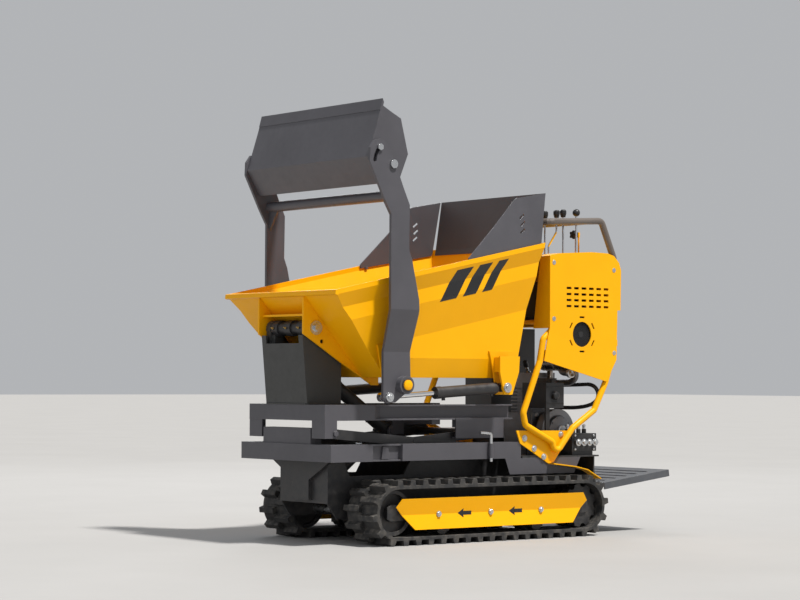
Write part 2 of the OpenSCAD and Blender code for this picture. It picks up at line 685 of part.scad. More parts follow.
module skip_brackets() color(yellow) at() {
    both() {
        // gusset under the front wall
        along_x(137, 145) difference() {
            polygon([[-656, 912], [-656, 777], [-486, 674], [-336, 588], [-306, 588], [-306, 617],
                [front_y(617), 617], [front_y(912), 912]]);
            translate(tip_axis) translate([28, -50]) circle(r = 8);
        }
        shaft(145, 150, tip_axis, 26);
        hex_head(150, 160, tip_axis, 15);
        // ears of the tipping cylinder's eye
        along_x(23, 31) difference() {
            union() {
                translate(tip_eye) circle(r = 17);
                polygon([[-482, 644], [front_y(700), 700], [front_y(624), 624], [-464, 616]]);
            }
            translate(tip_eye) circle(r = 5);
        }
        shaft(31, 37, tip_eye, 11);
        // plate and stub shaft that carry an arm
        along_x(side_half, side_half + 8)
            polygon([[-436, 736], [-300, 736], [-308, 604], [-334, 566], [-382, 566], [-412, 604]]);
        shaft(side_half + 8, 344, arm_axis, 22);
        shaft(344, 385, arm_axis, 20);
        shaft(385, 392, arm_axis, 19);
        // foot bracket of an arm cylinder
        along_x(side_half, side_half + 7)
            polygon([[104, 720], [226, 720], [222, 640], [182, 554], [140, 554], [126, 640]]);
        along_x(346, 354) polygon([[118, 700], [218, 700], [214, 640], [180, 554], [140, 554], [118, 640]]);
        box([side_half + 7, 128, 640], [346, 210, 648]);
        box([side_half + 7, 128, 648], [346, 136, 696]);
        box([side_half + 7, 202, 648], [346, 210, 696]);
        shaft(side_half + 7, 346, arm_foot, 11);
        shaft(354, 359, arm_foot, 19);
        hex_head(359, 366, arm_foot, 12);
    }
    shaft(-137, 137, tip_axis, 16);
}
// side board: leans in a little, with three slots, and packers against the skip's sheet
module side_board() at() {
    translate([rim_half - sheet - 1, 0, 1050]) rotate([0, -3.2, 0]) translate([0, 0, -1050]) difference() {
        along_x(-5, -1) polygon([[-24, 1054], [-28, 1068], [107, 1196], [215, 1306], [232, 1312], [376, 1338],
            [346, 1142], [340, 1118]]);
        for (p = [[248, 1240], [252, 1212], [250, 1184]])
            translate([-8, p[0], p[1]]) rotate([38, 0, 0]) translate([0, -14, -4]) cube([10, 28, 8]);
    }
    for (p = [[-2, 1052], [180, 1088], [318, 1118]])
        box([rim_half - sheet - 10, p[0], p[1]], [rim_half - sheet, p[0] + 12, p[1] + 10]);
}
module board_left() color(grey) side_board();
module board_right() color(grey) mirror([1, 0, 0]) side_board();
module board_rear() color(grey) at() {
    // its foot lies against the back sheet
    z = [1118, 1141, 1338];
    y = [rear_y(z[0]) - sheet, rear_y(z[1]) - sheet, 383];
    along_x(-rim_half + 29, rim_half - 29)
        polygon([for (i = [0, 1, 2]) [y[i], z[i]], for (i = [2, 1, 0]) [y[i] - 4, z[i]]]);
}

// ---- loader ----
arm_outline = [[-448, 556], [-448, 1212], [-481, 1270], [-548, 1400],
    [-546, 1450], [-526, 1478], [-496, 1484],
    [-462, 1462], [-419, 1374], [-391, 1310], [-362, 1249], [-364, 1084], [-349, 1046], [-316, 902],
    [-314, 849], [-325, 716], [-321, 606], [-340, 562], [-392, 526], [-430, 522], [-446, 534]];
// an arc-shaped slot of radius r and half width w, with round ends
module arc_slot(r, w, a0, a1) polygon(concat(
    [for (k = [0 : 12]) let (a = a0 + (a1 - a0) * k / 12) (r + w) * [cos(a), sin(a)]],
    [for (k = [1 : 7]) r * [cos(a1), sin(a1)] + w * [cos(a1 + k * 22.5), sin(a1 + k * 22.5)]],
    [for (k = [12 : -1 : 0]) let (a = a0 + (a1 - a0) * k / 12) (r - w) * [cos(a), sin(a)]],
    [for (k = [1 : 7]) r * [cos(a0), sin(a0)] + w * [cos(a0 + 180 + k * 22.5), sin(a0 + 180 + k * 22.5)]]));
slot_v = shovel_bolt - shovel_axis;
slot_r = norm(slot_v);
slot_a = atan2(slot_v[1], slot_v[0]);
module loader_arms() color(grey) at() {
    both() {
        difference() {
            intersection() {
                along_y(-560, -300) polygon([[345, 500], [345 + arm_t, 500], [345 + arm_t, 711],
                    [arm_half, 866], [arm_half, 1500], [arm_half - arm_t, 1500],
                    [arm_half - arm_t, 866], [345, 711]]);
                along_x(330, arm_half + 5) polygon(arm_outline);
            }
            shaft(340, 360, arm_axis, 20.1);
            shaft(arm_half - 20, arm_half + 5, shovel_axis, 12.1);
            translate([0, shovel_axis[0], shovel_axis[1]])
                along_x(arm_half - 20, arm_half + 5)
                    arc_slot(slot_r, 7.5, slot_a - 1, slot_a + shovel_tilt + 1);
        }
        // hub boss round the stub shaft, and the cylinder's pin head
        difference() {
            shaft(345 + arm_t, 384, arm_axis, 33);
            shaft(345, 386, arm_axis, 20.1);
        }
        shaft(345 + arm_t, 345 + arm_t + 12, arm_eye, 17);
        hex_head(345 + arm_t + 12, 345 + arm_t + 19, arm_eye, 10);
        shaft(334, 345, arm_eye, 15);
    }
    // cross tube between the arms
    difference() {
        shaft(-arm_half + arm_t, arm_half - arm_t, [-432, 1281], 20);
        shaft(-arm_half + arm_t + 1, arm_half - arm_t - 1, [-432, 1281], 16);
    }
    // gussets between the tube and the arms
    both() along_y(-436, -428)
        polygon([[arm_half - arm_t, 1274], [arm_half - arm_t, 1190], [arm_half - arm_t - 60, 1274]]);
}
module shovel() color(grey) at() {
    w = shovel_half - 7;
    // rolled sheet: edge, belly, heel and back lip
    along_x(-w, w) polygon([[-484, 1608],
        [-494, 1575], [-545, 1418], [-486, 1322], [-400, 1347], [-364, 1432],
        [-370, 1434], [-405, 1352], [-484, 1329], [-538, 1419], [-488, 1574], [-478, 1607]]);
    // bevelled cutting edge
    along_x(-shovel_half, shovel_half) polygon([[-491, 1592], [-482, 1590], [-473, 1620], [-479, 1634]]);
    both() {
        along_x(w, shovel_half) polygon([[-484, 1611], [-494, 1575], [-545, 1418],
            [-486, 1322], [-398, 1347], [-360, 1437], [-394, 1566], [-440, 1588]]);
        // tilt pin and the bolt that runs in the arm's slot
        shaft(shovel_half, arm_half + 1, shovel_axis, 12);
        shaft(arm_half + 1, arm_half + 8, shovel_axis, 16);
        shaft(shovel_half, arm_half + 1, shovel_bolt, 7);
        hex_head(arm_half + 1, arm_half + 8, shovel_bolt, 13);
    }
    // stiffening ribs under the belly
    both() along_x(120, 126) polygon([[-484, 1326], [-405, 1349], [-420, 1372], [-500, 1352]]);
}

// ---- operator's end ----
module platform() color(grey) at()
    translate([0, platform_axis[0], platform_axis[1]]) rotate([platform_rest, 0, 0]) {
    box([-290, 14, 0], [290, 380, 5]);
    both() box([285, 14, -22], [290, 380, 0]);
    box([-285, 375, -22], [285, 380, 0]);
    both() difference() {
        union() {
            box([262, 0, -10], [270, 40, 0]);
            shaft(262, 270, [0, 0], 14);
        }
        shaft(255, 280, [0, 0], 8.1);
    }
    // raised treads
    for (y = [60 : 60 : 330]) box([-240, y, 5], [240, y + 8, 7.5]);
}
module lock_pin() color(steel) at()
    upright(low_half + 10) bent_tube([[125, 298], [125, 405], [70, 409]], 6, 9);
// lever from the pivot rail to its knob, cranked sideways by dx
module lever(x, dx, ball) at() {
    top = 1276;
    difference() {
        union() {
            shaft(x - 7, x + 7, lever_axis, 12);
            path = dx == 0 ? [[x, 1086], [x, top - 6]]
                : [[x, 1086], [x, 1150], [x + dx, 1205], [x + dx, top - 6]];
            translate([0, lever_axis[0], 0]) rotate([90, 0, 0]) bent_tube(path, 4, 12);
            translate([x + dx, lever_axis[0], top]) {
                if (ball) sphere(r = 15);
                else rotate_extrude() polygon([[0, -14], [9, -14], [13, 0], [13, 12], [8, 17], [0, 17]]);
            }
        }
        shaft(x - 10, x + 10, lever_axis, 5.1);
    }
}
module star_knob() color(dark) at() translate([231, 618, 1190]) rotate([90, 0, 0]) {
    difference() {
        union() {
            cylinder(r = 14, h = 14);
            for (a = [0 : 72 : 288]) rotate(a) translate([13, 0, 0]) cylinder(r = 5, h = 14);
        }
        for (a = [36 : 72 : 324]) rotate(a) translate([17, 0, -1]) cylinder(r = 4, h = 16);
    }
    translate([0, 0, -14]) cylinder(r = 4, h = 14);
}

// ---- mirrored and repeated parts ----
module track_frame_left() color(dark) track_frame();
module track_frame_right() color(dark) mirror([1, 0, 0]) track_frame();
module track_guard_left() color(yellow) track_guard();
module track_guard_right() color(yellow) mirror([1, 0, 0]) track_guard();
module track_belt_left() color(rubber) belt();
module track_belt_right() color(rubber) mirror([1, 0, 0]) belt();
module sprocket_left() color(dark) sprocket();
module sprocket_right() color(dark) mirror([1, 0, 0]) sprocket();
module idler_left() color(dark) idler();
module idler_right() color(dark) mirror([1, 0, 0]) idler();
module roller_front_left() color(dark) roller(roller_y[0]);
module roller_front_right() color(dark) mirror([1, 0, 0]) roller(roller_y[0]);
module roller_rear_left() color(dark) roller(roller_y[1]);
module roller_rear_right() color(dark) mirror([1, 0, 0]) roller(roller_y[1]);
module cowl_left() color(yellow) cowl_panel();
module cowl_right() color(yellow) mirror([1, 0, 0]) cowl_panel();
module arm_barrel_left() color(dark) arm_barrel();
module arm_barrel_right() color(dark) mirror([1, 0, 0]) arm_barrel();
module arm_rod_left() color(steel) arm_rod();
module arm_rod_right() color(steel) mirror([1, 0, 0]) arm_rod();
module lever_throttle() color(dark) lever(-200, 0, true);
module lever_arm() color(dark) lever(-60, 0, false);
module lever_tip() color(dark) lever(73, 0, false);
module lever_drive_left() color(dark) lever(95, 47, false);
module lever_drive_right() color(dark) lever(181, 0, false);
module lever_lift() color(dark) lever(258, 0, true);

// ---- output ----
chassis_frame();
front_gusset();
lower_frame();
side_panels();
tube_gussets();
guard_tubes();
cowl_left();
cowl_right();
console();
engine_block();
muffler();
air_box();
fuel_tank();
hydraulic_tank();
hydraulic_pump();
valve_block();
handlebar();
track_frame_left();
track_frame_right();
track_guard_left();
track_guard_right();
track_belt_left();
track_belt_right();
frame_bolts();
sprocket_left();
sprocket_right();
idler_left();
idler_right();
roller_front_left();
roller_rear_left();
roller_front_right();
roller_rear_right();
links_outer();
links_inner();
lift_barrel();
lift_rod();
upper_frame();
tower();
tip_barrel();
tip_rod();
skip();
skip_brackets();
board_left();
board_right();
board_rear();
loader_arms();
shovel();
arm_barrel_left();
arm_barrel_right();
arm_rod_left();
arm_rod_right();
platform();
lock_pin();
lever_drive_left();
lever_drive_right();
lever_tip();
lever_lift();
lever_arm();
lever_throttle();
star_knob();
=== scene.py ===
import json
import math

import bpy
import bmesh
from mathutils import Matrix, Vector

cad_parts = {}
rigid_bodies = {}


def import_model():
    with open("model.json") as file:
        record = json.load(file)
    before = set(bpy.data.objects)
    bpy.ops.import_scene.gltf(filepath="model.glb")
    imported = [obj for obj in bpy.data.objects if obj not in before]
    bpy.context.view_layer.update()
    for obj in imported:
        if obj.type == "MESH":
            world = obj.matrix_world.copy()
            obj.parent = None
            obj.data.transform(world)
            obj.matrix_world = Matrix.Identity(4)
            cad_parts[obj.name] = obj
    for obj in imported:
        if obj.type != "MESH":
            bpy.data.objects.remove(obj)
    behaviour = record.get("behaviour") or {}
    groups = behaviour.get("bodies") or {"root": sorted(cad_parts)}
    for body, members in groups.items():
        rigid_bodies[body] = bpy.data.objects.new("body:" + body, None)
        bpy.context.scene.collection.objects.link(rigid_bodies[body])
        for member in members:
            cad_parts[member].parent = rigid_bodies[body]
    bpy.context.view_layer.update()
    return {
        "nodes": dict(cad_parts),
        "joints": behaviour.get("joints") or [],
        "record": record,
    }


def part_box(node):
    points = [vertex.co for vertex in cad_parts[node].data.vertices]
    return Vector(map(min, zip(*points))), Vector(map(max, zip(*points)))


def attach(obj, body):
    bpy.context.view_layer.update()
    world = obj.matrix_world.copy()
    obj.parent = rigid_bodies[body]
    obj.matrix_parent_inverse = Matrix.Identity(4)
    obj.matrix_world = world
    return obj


for leftover in list(bpy.data.objects):
    bpy.data.objects.remove(leftover)
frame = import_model()
nodes = frame["nodes"]
joint = {j["name"]: j for j in frame["joints"]}
scene = bpy.context.scene
# lengthwise places below are written from the CAD's own datum; this moves them to the row frame
SHIFT = joint["lever_lift_swing"]["pos_m"][1] - 0.600


def row(x, y, z):
    return Vector((x, y + SHIFT, z))


# ---------------------------------------------------------------- materials
def link(tree, a, b):
    tree.links.new(a, b)


def math_node(t, op, a, b=None, clamp=False):
    n = t.nodes.new("ShaderNodeMath")
    n.operation = op
    n.use_clamp = clamp
    for k, v in enumerate((a, b)):
        if v is None:
            continue
        if isinstance(v, (int, float)):
            n.inputs[k].default_value = v
        else:
            link(t, v, n.inputs[k])
    return n.outputs[0]


def remap(t, value, lo, hi, to_lo=0.0, to_hi=1.0):
    n = t.nodes.new("ShaderNodeMapRange")
    link(t, value, n.inputs["Value"])
    for k, v in zip(("From Min", "From Max", "To Min", "To Max"), (lo, hi, to_lo, to_hi)):
        n.inputs[k].default_value = v
    return n.outputs["Result"]


def noise(t, coord, scale, detail=3.0, rough=0.55):
    n = t.nodes.new("ShaderNodeTexNoise")
    n.inputs["Scale"].default_value = scale
    n.inputs["Detail"].default_value = detail
    n.inputs["Roughness"].default_value = rough
    link(t, coord, n.inputs["Vector"])
    return n.outputs["Fac"]


def mix(t, fac, a, b):
    n = t.nodes.new("ShaderNodeMix")
    n.data_type = "RGBA"
    if isinstance(fac, float):
        n.inputs["Factor"].default_value = fac
    else:
        link(t, fac, n.inputs["Factor"])
    for k, v in (("A", a), ("B", b)):
        s = [i for i in n.inputs if i.name == k and i.type == "RGBA"][0]
        if isinstance(v, tuple):
            s.default_value = (*v, 1.0)
        else:
            link(t, v, s)
    return [o for o in n.outputs if o.type == "RGBA"][0]


def make(name, color, rough=0.45, metal=0.0, coat=0.0, vary=0.07, grain=260.0, bump=0.10,
         worn=None, worn_amount=0.5, dust=0.0, rounding=0.0012, streaks=False, specular=0.5):
    """A procedural finish: broad colour drift, fine grain, worn edges, dust low down, soft corners."""
    m = bpy.data.materials.new(name)
    m.use_nodes = True
    t = m.node_tree
    p = t.nodes["Principled BSDF"]
    obj = t.nodes.new("ShaderNodeTexCoord").outputs["Object"]
    geo = t.nodes.new("ShaderNodeNewGeometry")
    if streaks:
        mp = t.nodes.new("ShaderNodeMapping")
        mp.inputs["Scale"].default_value = (1.0, 0.06, 1.0)
        link(t, obj, mp.inputs["Vector"])
        src = mp.outputs["Vector"]
    else:
        src = obj
    broad = noise(t, obj, 5.0, 4.0)
    mid = noise(t, obj, 38.0, 5.0, 0.6)
    fine = noise(t, src, grain, 2.0)
    dark = tuple(c * (1 - vary) for c in color)
    light = tuple(min(1.0, c * (1 + vary)) for c in color)
    col = mix(t, remap(t, broad, 0.3, 0.7), dark, light)
    bev = t.nodes.new("ShaderNodeBevel")
    bev.samples = 4
    bev.inputs["Radius"].default_value = 0.0035
    dot = t.nodes.new("ShaderNodeVectorMath")
    dot.operation = "DOT_PRODUCT"
    link(t, bev.outputs[0], dot.inputs[0])
    link(t, geo.outputs["Normal"], dot.inputs[1])
    edge = math_node(t, "SUBTRACT", 1.0, dot.outputs["Value"])
    if worn:
        spots = remap(t, mid, 0.50, 0.62)
        wear = math_node(t, "MULTIPLY", remap(t, edge, 0.02, 0.16), spots, True)
        wear = math_node(t, "MULTIPLY", wear, worn_amount, True)
        col = mix(t, wear, col, worn)
    if dust:
        sep = t.nodes.new("ShaderNodeSeparateXYZ")
        link(t, geo.outputs["Position"], sep.inputs[0])
        low = remap(t, sep.outputs["Z"], 0.42, 0.0, 0.25, 1.0)
        nz = t.nodes.new("ShaderNodeSeparateXYZ")
        link(t, geo.outputs["Normal"], nz.inputs[0])
        top = remap(t, nz.outputs["Z"], -0.2, 0.9, 0.35, 1.0)
        fac = math_node(t, "MULTIPLY", math_node(t, "MULTIPLY", low, top), remap(t, mid, 0.40, 0.75), True)
        fac = math_node(t, "MULTIPLY", fac, dust, True)
        col = mix(t, fac, col, (0.30, 0.27, 0.23))
    link(t, col, p.inputs["Base Color"])
    link(t, remap(t, mid, 0.3, 0.7, max(0.03, rough - 0.07), min(1.0, rough + 0.09)), p.inputs["Roughness"])
    p.inputs["Metallic"].default_value = metal
    p.inputs["Specular IOR Level"].default_value = specular
    p.inputs["Coat Weight"].default_value = coat
    p.inputs["Coat Roughness"].default_value = 0.12
    rnd = t.nodes.new("ShaderNodeBevel")
    rnd.samples = 4
    rnd.inputs["Radius"].default_value = rounding
    b1 = t.nodes.new("ShaderNodeBump")
    b1.inputs["Strength"].default_value = bump
    b1.inputs["Distance"].default_value = 0.0006
    link(t, fine, b1.inputs["Height"])
    link(t, rnd.outputs[0], b1.inputs["Normal"])
    b2 = t.nodes.new("ShaderNodeBump")
    b2.inputs["Strength"].default_value = 0.10
    b2.inputs["Distance"].default_value = 0.003
    link(t, broad, b2.inputs["Height"])
    link(t, b1.outputs[0], b2.inputs["Normal"])
    link(t, b2.outputs[0], p.inputs["Normal"])
    return m


YELLOW = make("yellow_paint", (0.86, 0.402, 0.0008), 0.42, coat=0.05, vary=0.035, grain=420, bump=0.06,
              worn=(0.62, 0.30, 0.012), worn_amount=0.30, specular=0.16)
GREY = make("grey_paint", (0.070, 0.068, 0.078), 0.42, vary=0.10, grain=520, bump=0.14,
            worn=(0.20, 0.195, 0.20), worn_amount=0.45, dust=0.03)
# the tower's grey paint at half brightness: a darker copy of grey_paint, painted shade for the tower's shaded
# front faces
TOWER_SHADED_GREY = make("tower_grey_painted_shade", (0.034, 0.035, 0.034), 0.46, vary=0.10, grain=520, bump=0.14,
             worn=(0.17, 0.17, 0.165), worn_amount=0.4, dust=0.05)
DARK = make("dark_paint", (0.020, 0.020, 0.022), 0.45, vary=0.15, grain=480, bump=0.12,
            worn=(0.12, 0.12, 0.12), worn_amount=0.5, dust=0.35)
RUBBER = make("track_rubber", (0.017, 0.017, 0.018), 0.72, vary=0.25, grain=300, bump=0.45,
              worn=(0.13, 0.122, 0.115), worn_amount=0.85, dust=0.55, rounding=0.0030)
ZINC = make("zinc_plate", (0.62, 0.63, 0.64), 0.30, metal=1.0, vary=0.08, grain=600, bump=0.10,
            rounding=0.0006)
CHROME = make("hard_chrome", (0.72, 0.73, 0.75), 0.11, metal=1.0, vary=0.03, grain=700, bump=0.03,
              streaks=True)
HANDLE = make("handle_coat", (0.115, 0.095, 0.082), 0.36, coat=0.25, vary=0.08, grain=380, bump=0.08,
              worn=(0.26, 0.24, 0.22), worn_amount=0.3)
PLASTIC = make("black_plastic", (0.014, 0.014, 0.015), 0.38, vary=0.12, grain=900, bump=0.16)
STEEL = make("bare_steel", (0.36, 0.33, 0.30), 0.30, metal=1.0, vary=0.22, grain=420, bump=0.10,
             streaks=True)
ALLOY = make("cast_alloy", (0.22, 0.22, 0.23), 0.48, metal=1.0, vary=0.15, grain=340, bump=0.35)
# near-black sheet finish: print for the guard arrows, painted shade for the skip's side slots
PRINT_AND_SLOT_SHADE = make("black_print_and_slot_shade", (0.012, 0.012, 0.013), 0.30, vary=0.10, grain=500, bump=0.04, rounding=0.0003)
BRASS = make("brass", (0.62, 0.42, 0.14), 0.28, metal=1.0, vary=0.10, grain=500, bump=0.06,
             rounding=0.0005)
DECK = make("deck_paint", (0.060, 0.064, 0.074), 0.62, vary=0.16, grain=240, bump=0.35,
            worn=(0.20, 0.20, 0.20), worn_amount=0.6, dust=0.25)
# painted shade: a near-black finish for the insides of the intake, the recoil vents and the muffler's holes
SHADOW = make("painted_cavity_shade", (0.006, 0.006, 0.006), 0.8, vary=0.2, grain=200, bump=0.2)

SLOT = {"yellow_paint": YELLOW, "grey_paint": GREY, "dark_paint": DARK, "rubber": RUBBER, "zinc": ZINC,
        "chrome": CHROME, "handle_coat": HANDLE, "black_plastic": PLASTIC, "bare_steel": STEEL,
        "cast_alloy": ALLOY}
SLOT_OF_MAT = {m.name: k for k, m in SLOT.items()}
SLOT_OF_MAT.update({TOWER_SHADED_GREY.name: "grey_paint", DECK.name: "grey_paint", PRINT_AND_SLOT_SHADE.name: "black_plastic",
                    BRASS.name: "zinc", SHADOW.name: "black_plastic"})
slot_of = {s["node"]: s["material_slot"] for s in frame["record"]["subparts"]}
# the tower takes the darker grey copy, which carries painted shade
special = {"tower": TOWER_SHADED_GREY, "platform": DECK, "side_panels": GREY}
for name, ob in nodes.items():
    ob.data.materials.clear()
    ob.data.materials.append(special.get(name, SLOT[slot_of[name]]))


def repaint(node, mat, test):
    """Gives the faces of a CAD node whose centre passes the test another finish."""
    me = nodes[node].data
    me.materials.append(mat)
    k = len(me.materials) - 1
    for f in me.polygons:
        if test(f.center):
            f.material_index = k


def near(c, place, r):
    return math.hypot(c.y - place[1], c.z - place[2]) < r


tip = joint["skip_tip"]["pos_m"]
arm = joint["arm_swing"]["pos_m"]
lever = joint["lever_lift_swing"]["pos_m"]
arm_eye = row(0, -0.425, 0.545)
arm_foot = row(0, 0.154, 0.581)
repaint("skip_brackets", ZINC, lambda c: near(c, tip, 0.027) and 0.1455 < abs(c.x) < 0.17)
repaint("skip_brackets", ZINC, lambda c: near(c, arm_foot, 0.0195) and abs(c.x) > 0.3545)
repaint("skip_brackets", DARK, lambda c: near(c, arm, 0.0225) and 0.309 < abs(c.x) < 0.3845)
repaint("skip_brackets", DARK, lambda c: abs(c.x) < 0.104 and near(c, tip, 0.02))
repaint("loader_arms", ZINC, lambda c: near(c, arm_eye, 0.0175) and (abs(c.x) > 0.3575 or abs(c.x) < 0.3449))
repaint("shovel", ZINC, lambda c: abs(c.x) > 0.3995)
repaint("tower", DARK, lambda c: near(c, tip, 0.0345) and abs(c.x) < 0.1035)
for n in ("lever_drive_left", "lever_drive_right", "lever_tip", "lever_lift", "lever_arm", "lever_throttle"):
    repaint(n, CHROME, lambda c: lever[2] + 0.013 < c.z < lever[2] + 0.182)
for n in ("track_frame_left", "track_frame_right"):
    repaint(n, ZINC, lambda c: abs(c.x) > 0.3335)
repaint("chassis_frame", ZINC, lambda c: near(c, joint["idler_turn_left"]["pos_m"], 0.019))

# ---------------------------------------------------------------- mesh helpers
def piece(name, verts, faces, body, mat, bevel=0.0):
    """A new mesh that rides on a body, with its edges bevelled if a width is given."""
    me = bpy.data.meshes.new(name)
    me.from_pydata([tuple(v) for v in verts], [], faces)
    me.update()
    bm = bmesh.new()
    bm.from_mesh(me)
    bmesh.ops.recalc_face_normals(bm, faces=bm.faces)
    bm.to_mesh(me)
    bm.free()
    ob = bpy.data.objects.new(name, me)
    scene.collection.objects.link(ob)
    me.materials.append(mat)
    if bevel:
        b = ob.modifiers.new("bevel", "BEVEL")
        b.width = bevel
        b.segments = 2
        b.limit_method = "ANGLE"
        b.angle_limit = math.radians(35)
    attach(ob, body)
    return ob


def basis(axis):
    z = Vector(axis).normalized()
    x = z.orthogonal().normalized()
    return x, z.cross(x), z


def lathe(name, profile, pos, axis, body, mat, sides=40, scallop=0.0, lobes=0):
    """A turned shape: profile is [(radius, height along the axis)]."""
    x, y, z = basis(axis)
    pos = Vector(pos)
    verts, faces = [], []
    for r, h in profile:
        for k in range(sides):
            a = 2 * math.pi * k / sides
            rr = r * (1 + scallop * math.cos(lobes * a))
            verts.append(pos + z * h + x * (rr * math.cos(a)) + y * (rr * math.sin(a)))
    for i in range(len(profile) - 1):
        for k in range(sides):
            m = (k + 1) % sides
            faces.append((i * sides + k, i * sides + m, (i + 1) * sides + m, (i + 1) * sides + k))
    faces.append(tuple(range(sides)))
    faces.append(tuple((len(profile) - 1) * sides + k for k in range(sides)))
    ob = piece(name, verts, faces, body, mat)
    ob.data.set_sharp_from_angle(angle=math.radians(32))
    for f in ob.data.polygons:
        f.use_smooth = len(f.vertices) == 4


def hexbolt(name, pos, axis, body, across, head, washer=True):
    """Chamfered hexagon head on a washer, standing on a face."""
    x, y, z = basis(axis)
    pos = Vector(pos)
    verts, faces = [], []
    r = across / math.sqrt(3)
    w = 0.0016 if washer else 0.0
    if washer:
        lathe(name + "_washer",
              [(0.6 * r, 0.0), (1.45 * r, 0.0), (1.45 * r, 0.0012), (1.38 * r, w), (0.6 * r, w)],
              pos, axis, body, ZINC, 28)
    rings = [(1.0, w), (1.0, w + head * 0.82), (0.86, w + head)]
    for s, h in rings:
        for k in range(6):
            a = math.pi * k / 3
            verts.append(pos + z * h + (x * math.cos(a) + y * math.sin(a)) * (r * s))
    for i in range(2):
        for k in range(6):
            m = (k + 1) % 6
            faces.append((i * 6 + k, i * 6 + m, i * 6 + 6 + m, i * 6 + 6 + k))
    faces += [tuple(range(6)), tuple(range(12, 18))]
    piece(name, verts, faces, body, ZINC, bevel=0.0004)


def tube(name, pts, r, body, mat, sides=16, rounds=2, wobble=0.0):
    """A round bar along points, its corners rounded by Chaikin's rule."""
    pts = [Vector(p) for p in pts]
    for _ in range(rounds):
        out = [pts[0]]
        for a, b in zip(pts, pts[1:]):
            out += [a.lerp(b, 0.25), a.lerp(b, 0.75)]
        pts = out + [pts[-1]]
    verts, faces = [], []
    u = (pts[1] - pts[0]).orthogonal().normalized()
    n = len(pts)
    for i, p in enumerate(pts):
        d = (pts[min(i + 1, n - 1)] - pts[max(i - 1, 0)]).normalized()
        u = (u - d * u.dot(d)).normalized()
        v = d.cross(u)
        rr = r * (1 + wobble * math.sin(i * 2.1))
        for k in range(sides):
            a = 2 * math.pi * k / sides
            verts.append(p + u * (rr * math.cos(a)) + v * (rr * math.sin(a)))
    for i in range(n - 1):
        for k in range(sides):
            m = (k + 1) % sides
            faces.append((i * sides + k, i * sides + m, (i + 1) * sides + m, (i + 1) * sides + k))
    faces += [tuple(range(sides)), tuple((n - 1) * sides + k for k in range(sides))]
    ob = piece(name, verts, faces, body, mat)
    for f in ob.data.polygons:
        f.use_smooth = len(f.vertices) == 4


WELD_R = 0.0032


def weld(name, a, b, body, mat):
    """A weld bead: a row of small overlapping ripples between two points."""
    a, b = Vector(a), Vector(b)
    n = max(6, int((b - a).length / 0.0045))
    pts = [a.lerp(b, k / n) for k in range(n + 1)]
    tube(name, pts, WELD_R, body, mat, sides=8, rounds=0, wobble=0.16)


def slab(name, outline, thick, body, mat, bevel=0.0008):
    """A flat plate from a loop of corner points, given thickness along its normal."""
    pts = [Vector(p) for p in outline]
    fans = ((pts[i] - pts[0]).cross(pts[i + 1] - pts[0]) for i in range(1, len(pts) - 1))
    nrm = sum(fans, Vector()).normalized()
    n = len(pts)
    verts = pts + [p + nrm * thick for p in pts]
    faces = [tuple(range(n)), tuple(range(n, 2 * n))]
    faces += [(i, (i + 1) % n, n + (i + 1) % n, n + i) for i in range(n)]
    piece(name, verts, faces, body, mat, bevel=bevel)


SIDES = (("left", 1.0), ("right", -1.0))

# ---------------------------------------------------------------- bent tubes shade smooth, belts flat
for name, smooth in (("guard_tubes", True), ("handlebar", True), ("track_belt_left", False),
                     ("track_belt_right", False)):
    for f in nodes[name].data.polygons:
        f.use_smooth = smooth

# ---------------------------------------------------------------- skip: three slanted slots on each side, thin near-black sheets of painted shade
RIM_Z, RIM_Y, RIM_SLOPE = 1.143, 0.357, 0.207
SLOT_DROPS = (0.030, 0.072, 0.125, 0.136)
SLOT_LEAN = 0.682
SHEET_GAP = 0.0006


def rim_line(drop, y):
    """Height of a line that runs along the skip's side at a drop below its rim."""
    return RIM_Z - drop + RIM_SLOPE * (y - RIM_Y)


def side_x(drop):
    """Half width of the skip's side at a drop below its rim line."""
    steps = [(0.0, 0.345), (0.018, 0.345), (0.072, 0.326), (0.125, 0.326), (0.248, 0.300)]
    for (d0, x0), (d1, x1) in zip(steps, steps[1:]):
        if drop <= d1:
            return x0 + (x1 - x0) * (drop - d0) / (d1 - d0)
    return steps[-1][1]


for side, s in SIDES:
    for k, (y0, wide) in enumerate(((-0.118, 0.080), (-0.006, 0.064), (0.090, 0.048))):
        outer, faces = [], []
        for d in SLOT_DROPS:
            shift = SLOT_LEAN * (0.080 - d)
            for y in (y0 + shift, y0 + wide + shift):
                outer.append(row(s * (side_x(d) + SHEET_GAP), y, rim_line(d, y)))
        for i in range(len(SLOT_DROPS) - 1):
            faces.append((2 * i, 2 * i + 1, 2 * i + 3, 2 * i + 2))
        inner = [v - Vector((s * 0.0005, 0, 0)) for v in outer]
        n = len(outer)
        faces += [tuple(n + i for i in reversed(f)) for f in faces[:3]]
        loop = [0, 1, 3, 5, 7, 6, 4, 2]
        faces += [(loop[i], loop[(i + 1) % n], n + loop[(i + 1) % n], n + loop[i]) for i in range(n)]
        piece(f"skip_slot_shade_{side}_{k}", outer + inner, faces, "skip", PRINT_AND_SLOT_SHADE)

# ---------------------------------------------------------------- track guards: arrows between the bolts
FOLD_Z, FOLD_X = 0.112, 0.347
ARROW_HALF = [(-0.034, 0.0), (-0.008, 0.017), (-0.008, 0.007), (0.032, 0.007), (0.032, 0.0)]


def guard_x(z):
    """Outer face of the V-folded guard at a height."""
    return FOLD_X + (0.013 * (z - FOLD_Z) / 0.060 if z > FOLD_Z else 0.013 * (FOLD_Z - z) / 0.055)


for side, s in SIDES:
    for k, y in enumerate((-0.0505, 0.2045)):
        for part, sign in (("up", 1), ("low", -1)):
            heights = [FOLD_Z + sign * b for _, b in ARROW_HALF]
            pts = [row(s * (guard_x(z) + SHEET_GAP), y + a, z) for (a, _), z in zip(ARROW_HALF, heights)]
            slab(f"guard_arrow_{side}_{k}_{part}", pts, 0.0003, "chassis", PRINT_AND_SLOT_SHADE, bevel=0.0)

